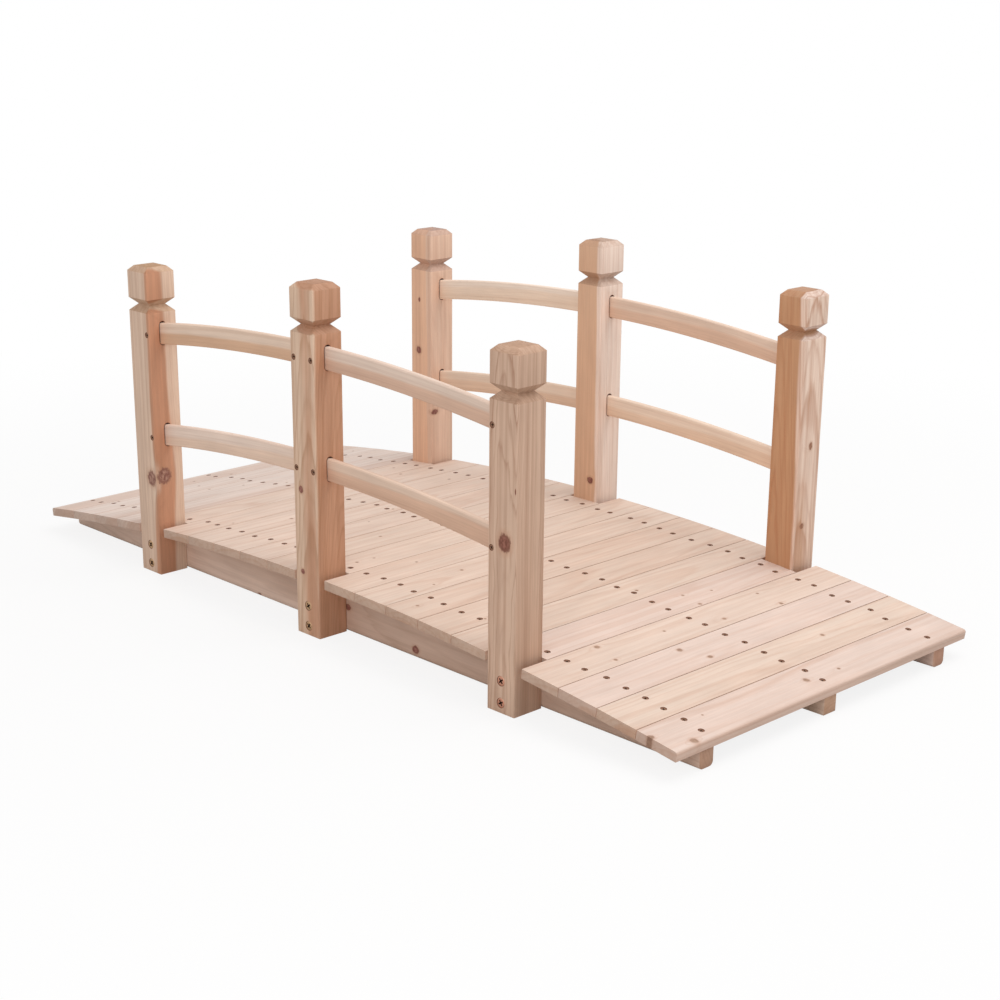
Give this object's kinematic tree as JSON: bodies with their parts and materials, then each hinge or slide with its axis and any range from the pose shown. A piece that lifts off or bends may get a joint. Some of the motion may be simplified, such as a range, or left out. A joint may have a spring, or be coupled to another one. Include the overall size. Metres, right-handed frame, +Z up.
{
  "type": "moon bridge",
  "caption": "Low arched garden footbridge of planed fir, with a curved board deck on flat-bottomed stringers, square posts with bevelled caps and bowed handrails.",
  "frame": {"origin": "middle of the bridge on the ground, below the crown of the deck", "axes": "+X along the walking direction to the right-hand end, +Y across the bridge to the back side, +Z up"},
  "size_m": [1.5, 0.677, 0.55],
  "materials": {
    "deck_fir": "planed, unfinished fir",
    "stringer_fir": "planed, unfinished fir",
    "post_fir": "planed, unfinished fir",
    "rail_fir": "planed, unfinished fir"
  },
  "bodies": {
    "root": {"deck_board_01": "deck_fir", "deck_board_02": "deck_fir", "deck_board_03": "deck_fir", "deck_board_04": "deck_fir", "deck_board_05": "deck_fir", "deck_board_06": "deck_fir", "deck_board_07": "deck_fir", "deck_board_08": "deck_fir", "deck_board_09": "deck_fir", "deck_board_10": "deck_fir", "deck_board_11": "deck_fir", "deck_board_12": "deck_fir", "deck_board_13": "deck_fir", "deck_board_14": "deck_fir", "deck_board_15": "deck_fir", "deck_board_16": "deck_fir", "deck_board_17": "deck_fir", "deck_board_18": "deck_fir", "deck_board_19": "deck_fir", "deck_board_20": "deck_fir", "deck_board_21": "deck_fir", "post_back_left": "post_fir", "post_back_middle": "post_fir", "post_back_right": "post_fir", "post_front_left": "post_fir", "post_front_middle": "post_fir", "post_front_right": "post_fir", "rail_back_left_lower": "rail_fir", "rail_back_left_upper": "rail_fir", "rail_back_right_lower": "rail_fir", "rail_back_right_upper": "rail_fir", "rail_front_left_lower": "rail_fir", "rail_front_left_upper": "rail_fir", "rail_front_right_lower": "rail_fir", "rail_front_right_upper": "rail_fir", "stringer_back": "stringer_fir", "stringer_front": "stringer_fir", "stringer_middle": "stringer_fir"}
  },
  "joints": []
}
